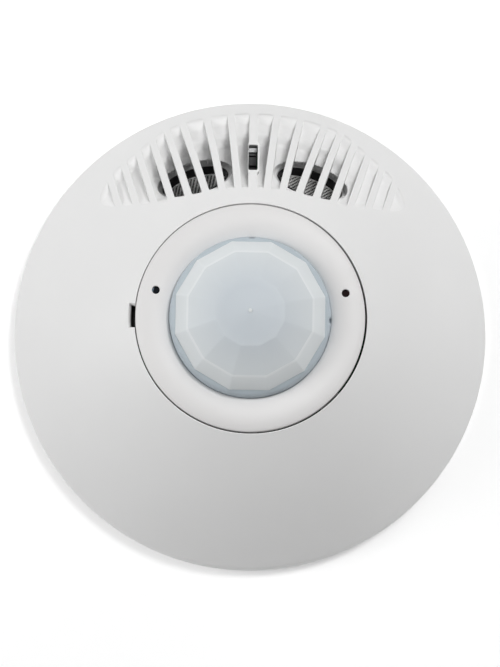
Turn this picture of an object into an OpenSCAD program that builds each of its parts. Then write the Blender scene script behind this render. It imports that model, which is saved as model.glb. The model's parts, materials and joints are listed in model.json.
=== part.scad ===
// Ceiling motion sensor that watches with a faceted infrared lens and a pair of ultrasonic
// transducers behind a louvred grille. It lies with its mounting plate down: z = 0 is the ceiling
// face, +Z is the way the sensor looks, +Y points at the grille.

/* [Dome] */
// Outer diameter of the dome cover
dome_d = 114.3; // [110:0.1:120]
// Overall depth from the ceiling face to the tip of the lens
total_h = 41.9; // [41:0.1:44]
// Height at which the dome's slope meets the rim wall
rim_z = 4.1; // [3.6:0.1:4.6]
// Height of the dome at the centre opening
shoulder_z = 31.3; // [31:0.1:31.6]
// Radius of the dome's gently bulging flank
flank_r = 107; // [95:1:140]
// Wall thickness of the dome
wall = 2.0; // [1.6:0.1:2.2]
// Clear height of the dome's rim above the ceiling
rim_gap = 0.6; // [0.4:0.1:1]

/* [Centre cover] */
// Diameter of the removable centre cover
cover_d = 53.2; // [52.8:0.1:53.4]
// Diameter of the lens opening
lens_d = 37.6; // [37:0.1:38]
// Gap all round between the centre cover and the dome
cover_gap = 0.35; // [0.3:0.05:0.5]
// Number of facets round the lens
lens_sides = 12; // [8:1:16]

/* [Grille] */
// Fins on each side of the middle one
side_fins = 8; // [6:1:8]
// Width of a fin
fin_w = 1.75; // [1.4:0.05:1.9]
// Width of the middle fin
mid_fin_w = 2.1; // [2:0.1:2.6]
// Plan angle of the outer fins
fin_lean = 17.3; // [15:0.1:19]
// Depth of the fins below the dome's surface
fin_depth = 5; // [3:0.5:6]

/* [Transducers] */
// Radius of a transducer's can
can_r = 7.95; // [7.8:0.05:8]
// Tilt of a transducer from the sensor's axis
can_tilt = 56.4; // [55:0.1:57.5]
// Turn of a transducer away from the middle plane
can_splay = 18.7; // [17:0.1:21]

/* [Mounting plate] */
// Radius of the mounting plate
plate_r = 53; // [52:0.1:53.4]
// Thickness of the plate
plate_t = 2.4; // [2.4:0.05:2.6]

/* [Hidden] */
$fn = 96;

// Dome: a circular arc from the rim wall up to the centre opening
dome_r = dome_d / 2;
cover_r = cover_d / 2;
opening_r = cover_r + cover_gap;
flank_run = dome_r - opening_r;
flank_rise = shoulder_z - rim_z;
flank_chord = sqrt(pow(flank_run, 2) + pow(flank_rise, 2));
flank_h = sqrt(pow(flank_r, 2) - pow(flank_chord / 2, 2));
flank_cr = (dome_r + opening_r) / 2 - flank_h * flank_rise / flank_chord;
flank_cz = (rim_z + shoulder_z) / 2 - flank_h * flank_run / flank_chord;
flank_steps = 16;
rim_round = 4;
collar_r = opening_r + 1.4;
collar_z = 25.4;
notch = [2.6, 5.5, 5];

// Plate and housing, stacked from the ceiling face
box_slots = 88.9;
gang_slots = 83.3;
twist = 24;
hook_ring_in = 22;
hook_ring_out = 26;
hook_step = 1.2;
back_z = plate_t + 0.3;
back_t = 2;
floor_z = back_z + back_t;
housing_r = 54.8;
hook_count = 4;
hook_angle = 16;
hook_notch_angle = 20;
slot_w = 4.6;
slot_l = 9;
bushing_bore_r = 6;
bushing_r = 8.9;

// Boards
power_z = 9;
board_t = 1.6;
power_top = power_z + board_t;
power_r = 41;
sensor_z = 20.4;
sensor_top = sensor_z + board_t;
sensor_r = 25.6;
power_posts = [[-34, -8], [34, -8], [0, -38]];
sensor_posts = [[-22, -4], [22, -4], [0, -22.5]];
dome_screw_r = 46;
dome_screw_angles = [15, 165, 225, 315];

// Grille pocket: a shallow outer ramp, a steep face that carries the transducers, and a shelf
// under each tip that follows the dome's surface
fin_step = 2.83;
fin_spread = 0.167;
fin_pitch = 4.3;
fans = 3;
fin_base_y = 27;
mouth_r = 37.3;
mouth_z = 17;
mouth_turn = 21.6;
pad_rise = 0.4;
ramp_slope = 0.06;
ramp_r = 42.6;
ramp_z = 8.4;
shelf_x = 25;
shelf_depth = 3.2;
baffle_t = 1.6;
baffle_wall = 1.4;
outer_arc_r = 53.9;
inner_arc_r = 72;
inner_arc_y = -41.05;
inner_edge_y = 27.7;
tip_x = 36.4;
tip_slope = 0.94;
tip_top = 69.1;
window = [2.2, 7.4];
window_y = 39.7;
window_wall = 0.45;

// Transducer, measured back along its own axis from the mouth
can_front = 2.15;
can_len = 7.4;
boot_len = 7;
boot_r = 9.05;
mouth_lip_r = 7.5;
socket_r = 10.2;
socket_step = 1.2;

// Adjusters under the centre cover
led_r = 22.75;
led_angle = 15;
trimmers = [[-14, -12.5], [0, -15.8], [14, -12.5]];
trimmer_size = [6.8, 6.8, 3.9];
rotor_r = 2.2;
rotor_shaft_r = 1;
switch_y = 15;
switch_size = [11.6, 6.4, 3.4];
lever_pitch = 2.54;
lever_size = [1.1, 1.3, 2];
lever_travel = 1.6;

// Lens: rings of a sphere, flat between them
lens_r = lens_d / 2;
lens_sphere_r = 24;
lens_cz = total_h - lens_sphere_r;
lens_ring_r = [lens_r, 15, 8.2];
lens_t = 0.8;

// Centre cover: a shallow arc between its outer lip and the lens
cover_edge_z = 31.1;
cover_lip_z = 30.6;
cover_bulge = 1.05;
cover_under = 29.6;
cover_chord = sqrt(pow(cover_r - lens_r, 2) + pow(cover_edge_z - cover_lip_z, 2));
cover_arc_r = (pow(cover_chord / 2, 2) + pow(cover_bulge, 2)) / (2 * cover_bulge);

function flank_z(r, t = 0) = flank_cz + sqrt(pow(flank_r - t, 2) - pow(r - flank_cr, 2));
function flank_line(r0, r1, t = 0) =
    [for (i = [0:flank_steps]) let(r = r0 + (r1 - r0) * i / flank_steps) [r, flank_z(r, t)]];

// The flank leans in at this angle where it meets the rim wall
function rim_lean() = asin((dome_r - flank_cr) / flank_r);
function rim_tangent() = rim_round * tan((90 - rim_lean()) / 2);
function rim_start() = let(r = dome_r - rim_tangent() * cos(rim_lean())) [r, flank_z(r)];
function rim_arc() = [for (i = [0:5]) let(a = i / 6 * (90 - rim_lean()))
    [dome_r - rim_round * (1 - cos(a)), rim_z - rim_tangent() + rim_round * sin(a)]];

// Height of the pocket floor, lowered by d at right angles to its two slopes
function ramp_line(r, d) = ramp_z + (r - ramp_r) * ramp_slope - 1.03 * d;
function steep_line(r, d) = mouth_z - tan(can_tilt) * (r - mouth_r) - (d + pad_rise) / cos(can_tilt);
function valley_r(d) = (mouth_z + tan(can_tilt) * mouth_r - (d + pad_rise) / cos(can_tilt)
    - ramp_z + ramp_r * ramp_slope + 1.03 * d) / (tan(can_tilt) + ramp_slope);
function fin_x(k) = let(m = min(abs(k), fans))
    sign(k) * (m * (fin_step + fin_spread * m) + max(abs(k) - fans, 0) * fin_pitch);
function fin_angle(k) = -sign(k) * fin_lean * min(abs(k), fans) / fans;

module ring(r_out, r_in, z0, z1) {
    translate([0, 0, z0])
        difference() {
            cylinder(r = r_out, h = z1 - z0);
            translate([0, 0, -1])
                cylinder(r = r_in, h = z1 - z0 + 2);
        }
}

module post(p, r, z0, z1) {
    translate([p[0], p[1], z0])
        cylinder(r = r, h = z1 - z0);
}

module block(size, p, z0) {
    translate([p[0] - size[0] / 2, p[1] - size[1] / 2, z0])
        cube(size);
}

module sector(r, angle, h) {
    rotate([0, 0, -angle / 2])
        rotate_extrude(angle = angle)
            square([r, h]);
}

module screw(p, head_z, head_r, head_h, shank_r, shank_z) {
    difference() {
        union() {
            post(p, head_r, min(head_z, head_z + head_h), max(head_z, head_z + head_h));
            post(p, shank_r, min(head_z, shank_z), max(head_z, shank_z));
        }
        for (a = [0, 90])
            translate([p[0], p[1], head_z + head_h])
                rotate([0, 0, a])
                    cube([head_r * 1.3, head_r * 0.28, abs(head_h)], center = true);
    }
}

// ---- Plate and housing ----

module slot_hole(length) {
    translate([0, 0, -1])
        linear_extrude(plate_t + 2) {
            for (s = [-1, 1])
                translate([s * (length - slot_w) / 2, 0])
                    circle(r = slot_w / 2);
            square([length - slot_w, slot_w], center = true);
        }
}

module mounting_plate() {
    color("gainsboro")
        difference() {
            cylinder(r = plate_r, h = plate_t);
            translate([0, 0, -1])
                cylinder(r = hook_ring_in, h = plate_t + 2);
            translate([0, 0, -1])
                cylinder(r = hook_ring_out, h = 1 + hook_step);
            for (i = [0:hook_count - 1])
                rotate([0, 0, i * 360 / hook_count + twist])
                    translate([0, 0, -1])
                        sector(hook_ring_out - 0.2, hook_notch_angle, plate_t + 2);
            for (s = [-1, 1]) {
                translate([s * box_slots / 2, 0, 0])
                    slot_hole(slot_l);
                translate([0, s * gang_slots / 2, 0])
                    rotate([0, 0, 90])
                        slot_hole(slot_l);
            }
            for (a = [45:90:315])
                rotate([0, 0, a])
                    translate([38, 0, -1])
                        cylinder(r = 2.2, h = plate_t + 2);
        }
}

module rear_housing() {
    color("whitesmoke")
        difference() {
            union() {
                rotate_extrude()
                    polygon([[0, back_z], [housing_r, back_z], [housing_r, back_z + 0.7],
                        [housing_r - 1.2, floor_z], [0, floor_z]]);
                for (a = dome_screw_angles)
                    rotate([0, 0, a])
                        post([dome_screw_r, 0], 4.3, back_z, 6.6);
                for (p = power_posts)
                    post(p, 3, back_z, power_z);
                for (p = sensor_posts)
                    post(p, 2.6, back_z, sensor_z);
                for (i = [0:hook_count - 1])
                    rotate([0, 0, i * 360 / hook_count])
                        twist_hook();
            }
            post([0, 0], bushing_r, 0, 10);
            for (a = dome_screw_angles)
                rotate([0, 0, a]) {
                    post([dome_screw_r, 0], 3, 0, 4.6);
                    post([dome_screw_r, 0], 1.6, 0, 10);
                }
            for (p = power_posts)
                post(p, 1.15, 5, power_z + 1);
            for (p = sensor_posts)
                post(p, 1, 13, sensor_z + 1);
        }
}

// An L-shaped hook: a stem down through the plate and a foot turned outwards under its ledge
module twist_hook() {
    foot_t = 0.65;
    intersection() {
        sector(hook_ring_out, hook_angle, back_z + 1);
        union() {
            ring(hook_ring_in - 0.35, 19.5, 0.25, back_z + 0.5);
            ring(hook_ring_out - 0.5, 19.5, 0.25, 0.25 + foot_t);
        }
    }
}

module housing_screws() {
    color("silver")
        for (a = dome_screw_angles)
            rotate([0, 0, a])
                screw([dome_screw_r, 0], 4.55, 2.7, -1.6, 1.2, 12);
}

module lead_bushing() {
    color("dimgray")
        difference() {
            union() {
                ring(bushing_r - 0.05, bushing_bore_r, 1.5, 8);
                ring(10.8, bushing_bore_r, 1.3, 2.65);
                ring(9.6, bushing_bore_r, floor_z + 0.1, floor_z + 1);
            }
            for (a = [0:60:300])
                rotate([0, 0, a])
                    block([30, 0.8, 4], [15, 0], floor_z + 1);
        }
}

// ---- Power board ----

module power_board() {
    color("darkgreen")
        difference() {
            intersection() {
                post([0, 0], power_r, power_z, power_top);
                block([100, 60, 10], [0, -24], power_z - 1);
            }
            post([0, 0], 12, 0, 20);
            for (p = power_posts)
                post(p, 1.3, 0, 20);
            for (p = sensor_posts)
                post(p, 3.1, 0, 20);
        }
}

module power_board_screws() {
    color("silver")
        for (p = power_posts)
            screw(p, power_top, 2.3, 1.5, 1.1, 6);
}

module relay() {
    color("black")
        block([12, 15, 8], [-25, -18], power_top);
}

module capacitor(p, r, h) {
    color("midnightblue")
        post(p, r, power_top, power_top + h);
}

module choke() {
    color("peru")
        translate([-12.6, -20.5, power_top + 1.9])
            rotate_extrude()
                translate([3.8, 0])
                    circle(r = 1.8, $fn = 40);
}

module lead_terminal() {
    color("seagreen")
        difference() {
            block([22, 7, 8], [0, -31.5], power_top);
            for (i = [-2:2]) {
                translate([i * 4.2, -27, power_top + 2.8])
                    rotate([90, 0, 0])
                        cylinder(r = 1.3, h = 7);
                post([i * 4.2, -31.5], 1.5, power_top + 5.6, power_top + 9);
            }
        }
}

module terminal_screws() {
    color("silver")
        for (i = [-2:2])
            screw([i * 4.2, -31.5], power_top + 6.2, 1.4, 1.1, 0.6, power_top + 5.7);
}

module timer_chip() {
    color("black")
        block([9.8, 3.9, 1.6], [13, -12], power_top);
}

module board_header() {
    color("black")
        block([10, 2.5, sensor_z - power_top - 0.1], [-2, -16], power_top + 0.05);
}

// ---- Sensor board ----

module sensor_board() {
    color("green")
        difference() {
            post([0, 0], sensor_r, sensor_z, sensor_top);
            for (p = sensor_posts)
                post(p, 1.2, 0, 30);
        }
}

module sensor_board_screws() {
    color("silver")
        for (p = sensor_posts)
            screw(p, sensor_top, 2.2, 1.4, 0.95, 15);
}

module control_chip() {
    color("black")
        block([7, 7, 1.2], [-13.5, 8], sensor_top);
}

module amplifier_chip() {
    color("black")
        block([5, 4, 1.5], [13.5, 9], sensor_top);
}

module pir_base() {
    color("silver")
        difference() {
            union() {
                post([0, 0], 4.9, sensor_top, sensor_top + 0.5);
                rotate([0, 0, 45])
                    block([2, 1, 0.5], [5.2, 0], sensor_top);
            }
            post([0, 0], 3.6, sensor_top + 0.3, sensor_top + 2);
        }
}

module pir_can() {
    color("lightgray")
        difference() {
            post([0, 0], 4.55, sensor_top + 0.52, sensor_top + 4.1);
            post([0, 0], 4.25, sensor_top, sensor_top + 3.8);
            block([4, 3, 2], [0, 0], sensor_top + 3);
        }
}

module pir_window() {
    color([0.12, 0.1, 0.12])
        block([3.96, 2.96, 0.28], [0, 0], sensor_top + 3.82);
}

// ---- Dome ----

// Everything under the dome's surface less t, down to z = z0
module flank_solid(t, z0 = -1) {
    rotate_extrude()
        polygon(concat([[0, z0], [dome_r - t, z0]], flank_line(dome_r - t, 0.01, t),
            [[0, flank_z(0, t)]]));
}

// The crescent the louvres fill, in plan, grown by the given amount
module grille_outline(grow = 0) {
    end = tip_x + grow;
    top = tip_top + 1.4 * grow;
    intersection() {
        difference() {
            circle(r = outer_arc_r + grow, $fn = 200);
            translate([0, inner_arc_y])
                circle(r = inner_arc_r - grow, $fn = 200);
        }
        polygon([[-end, inner_edge_y - grow], [end, inner_edge_y - grow],
            [end, top - tip_slope * end], [0, top], [-end, top - tip_slope * end]]);
    }
}

module transducer_pads(d, r) {
    for (s = [-1, 1])
        on_transducer(s)
            translate([0, 0, d])
                cylinder(r = r, h = 9);
}

// Solid below the pocket floor, with a shelf near both tips; d lowers the floor
module below_pocket(d) {
    rotate_extrude()
        polygon([[0, -1], [60, -1], [60, ramp_line(60, d)], [valley_r(d), ramp_line(valley_r(d), d)],
            [20, steep_line(20, d)], [0, steep_line(20, d)]]);
    for (s = [0, 1])
        mirror([s, 0, 0])
            intersection() {
                flank_solid(shelf_depth + d);
                translate([shelf_x + d, 0, -1])
                    cube([60, 80, 80]);
            }
}

module pocket_air() {
    difference() {
        linear_extrude(40)
            grille_outline();
        below_pocket(0);
        transducer_pads(0, socket_r - 0.3);
    }
}

module fin_plan() {
    for (k = [-side_fins:side_fins])
        translate([fin_x(k), fin_base_y])
            rotate([0, 0, fin_angle(k)])
                translate([-(k == 0 ? mid_fin_w : fin_w) / 2, -8])
                    square([k == 0 ? mid_fin_w : fin_w, 40]);
    translate([-window[0] / 2 - window_wall, window_y - window[1] / 2 - window_wall])
        square([window[0] + 2 * window_wall, window[1] + 2 * window_wall]);
}

// What the fins are cut from where they hang below the dome's wall, clear of the baffle
module fin_block() {
    difference() {
        linear_extrude(60)
            grille_outline(-0.15);
        flank_solid(fin_depth, -2);
        below_pocket(-0.3);
        transducer_pads(-0.3, socket_r + 0.3);
    }
}

module dome_cover() {
    color("whitesmoke")
        difference() {
            rotate_extrude()
                polygon(concat([[0, rim_gap], [dome_r, rim_gap]], rim_arc(),
                    flank_line(rim_start()[0], opening_r - 3), [[0, shoulder_z + 1]]));
            difference() {
                flank_solid(wall);
                ring(collar_r, opening_r - 1, collar_z, 60);
                for (a = dome_screw_angles)
                    rotate([0, 0, a])
                        post([dome_screw_r, 0], 3.6, 6.7, 25);
                fin_block();
            }
            post([0, 0], opening_r, 0, 50);
            difference() {
                pocket_air();
                linear_extrude(60)
                    fin_plan();
            }
            for (a = dome_screw_angles)
                rotate([0, 0, a])
                    post([dome_screw_r, 0], 1.25, 5, 12.5);
            block([window[0], window[1], 40], [0, window_y], 0);
            block(notch, [-opening_r, 0], shoulder_z - notch[2]);
        }
}

// ---- Baffle and transducers ----

module on_transducer(side) {
    rotate([0, 0, -side * mouth_turn])
        translate([0, mouth_r, mouth_z])
            rotate([0, 0, side * (mouth_turn - can_splay)])
                rotate([-can_tilt, 0, 0])
                    mirror([0, 0, 1])
                        children();
}

module acoustic_baffle() {
    color("white")
        difference() {
            union() {
                intersection() {
                    difference() {
                        linear_extrude(40)
                            grille_outline(baffle_wall);
                        below_pocket(baffle_t);
                    }
                    flank_solid(wall + 0.15);
                }
                intersection() {
                    for (s = [-1, 1])
                        on_transducer(s)
                            translate([0, 0, -1])
                                cylinder(r = socket_r, h = 6);
                    flank_solid(wall + 0.15, floor_z + 0.2);
                }
            }
            pocket_air();
            for (s = [-1, 1])
                on_transducer(s) {
                    translate([0, 0, -3])
                        cylinder(r = can_r + 0.15, h = 12);
                    translate([0, 0, socket_step])
                        cylinder(r = boot_r + 0.05, h = 12);
                }
            block([window[0] + 0.1, window[1] + 0.2, 20], [0, window_y], 7);
        }
}

module boot(side) {
    color([0.07, 0.07, 0.075])
        on_transducer(side) {
            ring(can_r + 0.1, mouth_lip_r, 0, socket_step + 0.1);
            ring(boot_r, mouth_lip_r, socket_step + 0.05, can_front - 0.05);
            ring(boot_r, can_r + 0.02, can_front - 0.05, boot_len);
        }
}

module transducer_can(side) {
    color([0.1, 0.1, 0.11])
        on_transducer(side)
            difference() {
                translate([0, 0, can_front])
                    cylinder(r = can_r, h = can_len);
                translate([0, 0, can_front - 1])
                    cylinder(r = can_r - 0.5, h = can_len - 0.6);
            }
}

module transducer_mesh(side) {
    mesh_r = 7.35;
    wire_pitch = 1.5;
    color("silver")
        on_transducer(side)
            translate([0, 0, can_front + 0.05]) {
                ring(mesh_r, mesh_r - 0.5, 0, 0.5);
                intersection() {
                    cylinder(r = mesh_r - 0.2, h = 1);
                    union() {
                        for (i = [-4:4]) {
                            block([0.4, 16, 0.25], [i * wire_pitch, 0], 0.02);
                            block([16, 0.4, 0.25], [0, i * wire_pitch], 0.22);
                        }
                    }
                }
            }
}

module transducer_cone(side) {
    color("gray")
        on_transducer(side)
            translate([0, 0, can_front])
                rotate_extrude()
                    polygon([[0, 4.4], [1.2, 4.4], [5.2, 1.6], [5.6, 1.9], [1.6, 5.2], [6, 5.2],
                        [6, 5.6], [0, 5.6]]);
}

module transducer_pins(side) {
    color("gold")
        on_transducer(side)
            for (x = [-2.5, 2.5])
                post([x, 0], 0.4, can_front + can_len, can_front + can_len + 2.4);
}

module photocell_board() {
    color("darkgreen")
        block([2, 6.8, 0.8], [0, window_y], 11.4);
}

module photocell_body() {
    color([0.09, 0.09, 0.1]) {
        block([1.8, 2, 5.2], [-0.1, window_y], 12.2);
        block([1.8, 0.5, 5.6], [-0.1, window_y + 1.5], 12.2);
        block([1.8, 1.5, 4.6], [-0.1, window_y - 2.3], 12.2);
        block([1.8, 4.9, 3.6], [-0.1, window_y - 0.45], 12.2);
    }
}

module photocell_lens() {
    color("lightgray")
        block([1.8, 1, 5.4], [-0.1, window_y + 2.65], 12.2);
}

// ---- Adjusters and lights on the sensor board ----

module led(side) {
    a = side > 0 ? led_angle : 180 - led_angle;
    p = led_r * [cos(a), sin(a)];
    post(p, 1.9, sensor_top, sensor_top + 0.9);
    post(p, 1.5, sensor_top + 0.8, sensor_top + 3.4);
    translate([p[0], p[1], sensor_top + 3.4])
        sphere(r = 1.5);
}

module trimmer_body(i) {
    color("royalblue")
        difference() {
            block(trimmer_size, trimmers[i], sensor_top);
            post(trimmers[i], rotor_shaft_r + 0.05, sensor_top + 1, sensor_top + 5);
        }
}

module trimmer_rotor(i) {
    p = trimmers[i];
    body_top = sensor_top + trimmer_size[2];
    color("white")
        difference() {
            union() {
                post(p, rotor_r, body_top + 0.15, body_top + 0.95);
                post(p, rotor_shaft_r, body_top - 2.4, body_top + 0.2);
            }
            for (a = [0, 90])
                translate([p[0], p[1], body_top + 0.95])
                    rotate([0, 0, a])
                        cube([3, 0.6, 0.9], center = true);
        }
}

module switch_body() {
    slot = [lever_size[0] + 0.4, lever_size[1] + lever_travel + 0.3, 4];
    color("crimson")
        difference() {
            block(switch_size, [0, switch_y], sensor_top);
            for (i = [0:3])
                block(slot, [(i - 1.5) * lever_pitch, switch_y], sensor_top + 1.7);
        }
}

// A lever rests towards the grille when on = 1 and away from it when on = -1
module switch_lever(i, on) {
    color("white")
        block(lever_size, [(i - 1.5) * lever_pitch, switch_y + on * lever_travel / 2], sensor_top + 1.95);
}

// ---- Centre cover ----

function cover_line(n) = let(half = asin(cover_chord / 2 / cover_arc_r),
    lean = atan((cover_edge_z - cover_lip_z) / (cover_r - lens_r)),
    cr = (cover_r + lens_r) / 2 + sin(lean) * (cover_arc_r - cover_bulge),
    cz = (cover_edge_z + cover_lip_z) / 2 - cos(lean) * (cover_arc_r - cover_bulge))
    [for (i = [0:n]) let(a = 90 + lean - half + 2 * half * i / n)
        [cr + cover_arc_r * cos(a), cz + cover_arc_r * sin(a)]];

module led_places() {
    for (a = [led_angle, 180 - led_angle])
        rotate([0, 0, a])
            translate([led_r, 0, 0])
                children();
}

module centre_cover() {
    color("whitesmoke")
        difference() {
            union() {
                rotate_extrude()
                    polygon(concat([[cover_r, 27.6]], cover_line(14), [[lens_r, cover_under],
                        [22.2, cover_under], [22.8, 30.4], [25, 30], [25, 27.6]]));
                for (a = [45:90:315])
                    rotate([0, 0, a])
                        intersection() {
                            rotate_extrude()
                                polygon([[24.9, 24.6], [26.2, 24.6], [cover_r, 25.4],
                                    [cover_r, 26.2], [26.3, 26.6], [26.3, 28.5], [24.9, 28.5]]);
                            block([10, 6, 10], [24, 0], 20);
                        }
                for (a = [0:60:300])
                    rotate([0, 0, a + 30]) {
                        post([23.3, 0], 0.7, 27.4, 31);
                        post([23.3, 0], 1.2, 27.2, 27.85);
                    }
            }
            led_places()
                post([0, 0], 0.9, 20, 40);
            for (a = [0, 90])
                rotate([0, 0, a])
                    block([1, 1.5, 4], [lens_r, 0], cover_under + 0.3);
        }
}

function lens_ring(r, shift) = let(s = (lens_sphere_r - shift) / lens_sphere_r,
    z = lens_cz + sqrt(pow(lens_sphere_r, 2) - r * r) * s)
    [for (i = [0:lens_sides - 1]) let(a = (i + 0.5) * 360 / lens_sides)
        [r * s * cos(a), r * s * sin(a), z]];

// The faceted cap as a closed solid, shrunk towards the sphere's centre by shift
module lens_cap(shift) {
    n = lens_sides;
    rings = [for (r = lens_ring_r) lens_ring(r, shift)];
    base = [for (p = rings[0]) [p[0], p[1], 30]];
    points = concat(base, rings[0], rings[1], rings[2], [[0, 0, lens_cz + lens_sphere_r - shift]]);
    bands = [for (k = [0:2]) for (i = [0:n - 1])
        [k * n + i, (k + 1) * n + i, (k + 1) * n + (i + 1) % n, k * n + (i + 1) % n]];
    tip = [for (i = [0:n - 1]) [3 * n + i, 4 * n, 3 * n + (i + 1) % n]];
    polyhedron(points, concat([[for (i = [0:n - 1]) i]], bands, tip));
}

module lens() {
    color([0.86, 0.89, 0.92])
        union() {
            difference() {
                lens_cap(0);
                translate([0, 0, -0.01])
                    lens_cap(lens_t);
            }
            difference() {
                ring(lens_r - 0.12, lens_r - 1, 28.8, 32.9);
                lens_cap(0.01);
            }
            ring(21.6, lens_r - 1, 28.8, 29.5);
        }
}

module lens_retainer() {
    color("whitesmoke")
        difference() {
            ring(24.4, 18, 27.9, 28.7);
            for (a = [0:60:300])
                rotate([0, 0, a + 30])
                    post([23.3, 0], 0.78, 20, 40);
            led_places()
                post([0, 0], 1.6, 20, 40);
        }
}

module light_pipe(side) {
    a = side > 0 ? led_angle : 180 - led_angle;
    p = led_r * [cos(a), sin(a)];
    post(p, 0.85, 28.6, 31.2);
    post(p, 1.3, 27.6, 28.8);
}

mounting_plate();
rear_housing();
housing_screws();
lead_bushing();
power_board();
power_board_screws();
relay();
capacitor([25, -20], 5, 9.3);  // capacitor_a
capacitor([33, 0], 3.2, 7);  // capacitor_b
capacitor([16, -25], 3.2, 7);  // capacitor_c
choke();
lead_terminal();
terminal_screws();
timer_chip();
board_header();
sensor_board();
sensor_board_screws();
control_chip();
amplifier_chip();
pir_base();
pir_can();
pir_window();
dome_cover();
acoustic_baffle();
boot(-1);  // transducer_boot_left
boot(1);  // transducer_boot_right
transducer_can(-1);  // transducer_can_left
transducer_can(1);  // transducer_can_right
transducer_mesh(-1);  // transducer_mesh_left
transducer_mesh(1);  // transducer_mesh_right
transducer_cone(-1);  // transducer_cone_left
transducer_cone(1);  // transducer_cone_right
transducer_pins(-1);  // transducer_pins_left
transducer_pins(1);  // transducer_pins_right
photocell_board();
photocell_body();
photocell_lens();
color("lightblue") led(-1);  // led_left
color("firebrick") led(1);  // led_right
trimmer_body(0);  // trimmer_body_a
trimmer_body(1);  // trimmer_body_b
trimmer_body(2);  // trimmer_body_c
trimmer_rotor(0);  // trimmer_rotor_a
trimmer_rotor(1);  // trimmer_rotor_b
trimmer_rotor(2);  // trimmer_rotor_c
switch_body();
switch_lever(0, 1);  // switch_lever_1
switch_lever(1, -1);  // switch_lever_2
switch_lever(2, 1);  // switch_lever_3
switch_lever(3, -1);  // switch_lever_4
centre_cover();
lens();
lens_retainer();
color("lightblue") light_pipe(-1);  // light_pipe_left
color("indianred") light_pipe(1);  // light_pipe_right
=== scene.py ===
"""Looks of a domed ceiling motion sensor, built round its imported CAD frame."""

import json
import math

import bmesh
import bpy
import numpy as np
from mathutils import Matrix, Vector
from mathutils.geometry import delaunay_2d_cdt


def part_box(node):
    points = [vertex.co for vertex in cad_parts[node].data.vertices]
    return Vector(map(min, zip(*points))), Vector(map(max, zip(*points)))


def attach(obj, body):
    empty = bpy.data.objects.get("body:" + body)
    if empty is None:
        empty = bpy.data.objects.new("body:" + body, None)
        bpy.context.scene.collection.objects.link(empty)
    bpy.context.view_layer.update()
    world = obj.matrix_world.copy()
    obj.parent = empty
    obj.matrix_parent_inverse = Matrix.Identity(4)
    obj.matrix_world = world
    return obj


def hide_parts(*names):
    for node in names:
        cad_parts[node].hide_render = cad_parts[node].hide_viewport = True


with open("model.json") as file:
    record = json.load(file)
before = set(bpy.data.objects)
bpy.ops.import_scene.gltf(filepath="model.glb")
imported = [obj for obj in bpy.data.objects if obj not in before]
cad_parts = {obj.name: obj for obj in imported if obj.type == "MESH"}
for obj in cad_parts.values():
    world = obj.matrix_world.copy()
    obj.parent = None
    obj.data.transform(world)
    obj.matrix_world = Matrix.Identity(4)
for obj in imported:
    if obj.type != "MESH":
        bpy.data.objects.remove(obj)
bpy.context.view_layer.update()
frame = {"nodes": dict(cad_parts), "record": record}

MM = 0.001
TAU = 2 * math.pi


def size_of(node):
    """Lowest and highest corner of a CAD node, in millimetres."""
    low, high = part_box(node)
    return np.array(low) / MM, np.array(high) / MM


# ---------------------------------------------------------------- driving sizes, in millimetres
# Dome: rim, flank arc, wall, opening for the centre cover, collar under it and pry notch
DOME_LOW, DOME_HIGH = size_of("dome_cover")
DOME_R = DOME_HIGH[0]
RIM_GAP = DOME_LOW[2]
COVER_R = size_of("centre_cover")[1][0]
OPENING_R = COVER_R + 0.35
OPENING_LIP = 0.2
OPENING_SHIFT = np.array([0.13, -0.09])
SHOULDER_Z = 31.3
RIM_Z = 4.1
WALL = 2.0
FLANK_R = 107.0
RIM_ROUND = 4.0
COLLAR_R = OPENING_R + 1.4
COLLAR_Z = 25.4
NOTCH_DEPTH, NOTCH_WIDTH, NOTCH_DROP = 1.3, 5.5, 5.0
NOTCH_R = OPENING_R + NOTCH_DEPTH

# Centre cover: height of its face at the outer edge and at the lens, and its bulge between them
COVER_EDGE_Z, COVER_LIP_Z, COVER_BULGE = 31.1, 30.6, 1.05

# Lens: its hole and skirt, the sphere its corners lie on, rings of corners and key recesses
LENS_R, SKIRT_R = 18.8, 18.73
LENS_TIP = size_of("lens")[1][2]
LENS_SPHERE_R = 24.0
LENS_RINGS = (18.0, 15.0, 8.2)
LENS_SIDES = 12
KEY_ANGLES, KEY_DEPTH = (-0.035, math.pi / 2), 0.5

# Fins: the first few on each side fan out, the rest are parallel
SIDE_FINS, FANS = 8, 3
FIN_W, MID_FIN_W, FIN_DEPTH = 1.75, 2.1, 5.0
FIN_STEP, FIN_SPREAD, FIN_PITCH = 2.83, 0.167, 4.3
FIN_LEAN = math.radians(17.3)
FIN_BASE_Y = 27.0

# Daylight sensor's window in the middle fin, with a thin wall left of it
WINDOW_W, WINDOW_L, WINDOW_Y, WINDOW_FLOOR_Z = 2.2, 7.4, 39.7, 12.0
WINDOW_WALL, WINDOW_THIN_WALL = 0.42, 0.12

# Pocket's outline: outer arc, inner arc and straight slopes to rounded tips at TIP_Y
OUTER_ARC_R = 53.3
INNER_ARC_R, INNER_ARC_Y, INNER_EDGE_Y = 72.0, -41.05, 27.7
TIP_X, TIP_Y, TIP_ROUND, TIP_SLOPE, TIP_TOP = 36.4, 30, 4.0, 0.94, 69.1

# Transducers: place of each mouth, turn and tilt of its axis, radii of the can and of the boot's
# lip, lowest floor beside it, and the number of points round it
MOUTH_R, MOUTH_Z = 37.3, 17.0
MOUTH_TURN, CAN_SPLAY, CAN_TILT = (math.radians(a) for a in (21.6, 18.7, 56.4))
CAN_R, MOUTH_LIP_R = 7.95, 7.5
VALLEY_Z = 10.6
SPOKES = 72

# Indicators: distance from the axis, and angle above the X axis on each side
LED_R, LED_ANGLE = 22.75, math.radians(15)

# Angles at which a rounded edge is cut, and the four corner signs of a rectangle
EDGE_ANGLES = (0.5, 1.0, math.pi / 2)
CORNERS = ((-1, -1), (1, -1), (1, 1), (-1, 1))

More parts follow.
